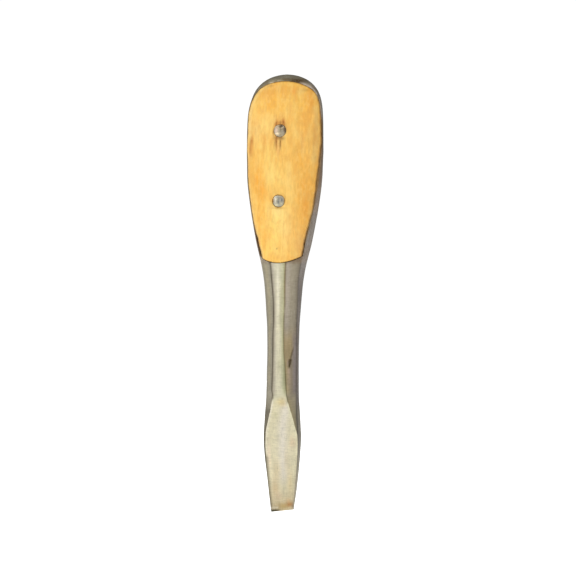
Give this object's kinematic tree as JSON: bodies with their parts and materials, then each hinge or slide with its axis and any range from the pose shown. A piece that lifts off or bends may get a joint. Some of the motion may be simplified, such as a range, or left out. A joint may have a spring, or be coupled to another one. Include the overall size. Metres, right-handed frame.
{
  "type": "screwdriver",
  "caption": "Flat-blade screwdriver: one forged steel bar makes blade, faceted shank and handle frame, with wooden scales let into both sides and held by through rivets.",
  "frame": {"origin": "centre of the flat end of the tip", "axes": "+Z from the tip to the butt, +X across the width of the blade, -Y is the front face with one wooden scale, +Y is the back face with the other"},
  "size_m": [0.032, 0.0174, 0.178],
  "materials": {
    "forged_steel": "satin, hand filed and worn, light brown staining near the tip",
    "handle_wood": "honey-coloured close-grained hardwood, worn smooth, thin old varnish",
    "rivet_steel": "hammered, dull"
  },
  "bodies": {
    "root": {"steel_forging": "forged_steel", "front_scale": "handle_wood", "back_scale": "handle_wood", "upper_rivet": "rivet_steel", "lower_rivet": "rivet_steel"}
  },
  "joints": []
}
